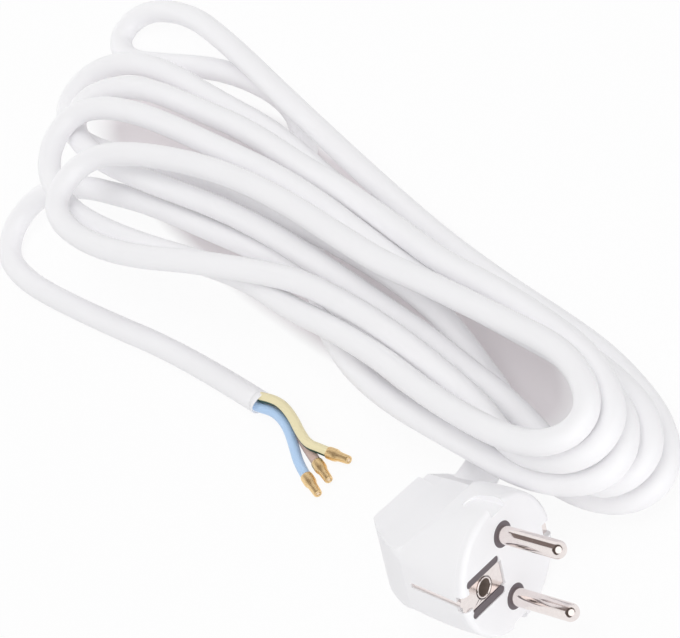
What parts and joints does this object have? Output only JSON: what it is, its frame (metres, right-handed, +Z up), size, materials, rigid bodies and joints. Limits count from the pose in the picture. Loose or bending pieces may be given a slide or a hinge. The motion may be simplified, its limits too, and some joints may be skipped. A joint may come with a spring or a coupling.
{
  "type": "power cord",
  "caption": "Mains lead folded into a loose hank, with an angled earthed plug moulded on one end and bare cores in crimped end sleeves at the other.",
  "frame": {"origin": "on the resting surface, under the centre of the whole lead's bounding box", "axes": "+Z up from the resting surface, +X along the hank towards the plug's pins"},
  "size_m": [0.2775, 0.12, 0.0375],
  "materials": {
    "white_moulding": "satin moulded PVC",
    "white_sheath": "satin extruded PVC",
    "dark_carrier": "matt moulded",
    "nickel": "bright nickel plate",
    "brown_core": "satin PVC",
    "blue_core": "satin PVC",
    "yellow_core": "satin PVC with a green stripe",
    "end_sleeve": "bright",
    "copper": "drawn"
  },
  "bodies": {
    "root": {"plug_body": "white_moulding", "contact_bridge": "dark_carrier", "live_pin": "nickel", "neutral_pin": "nickel", "earth_bracket": "nickel", "earth_sleeve": "nickel", "plug_core_live": "brown_core", "plug_core_neutral": "blue_core", "plug_core_earth": "yellow_core", "cord_lead": "white_sheath", "cord_hank": "white_sheath", "cord_tail": "white_sheath", "core_green_yellow": "yellow_core", "core_blue": "blue_core", "core_brown": "brown_core", "ferrule_green_yellow": "end_sleeve", "ferrule_blue": "end_sleeve", "ferrule_brown": "end_sleeve", "strands_green_yellow": "copper", "strands_blue": "copper", "strands_brown": "copper"}
  },
  "joints": []
}
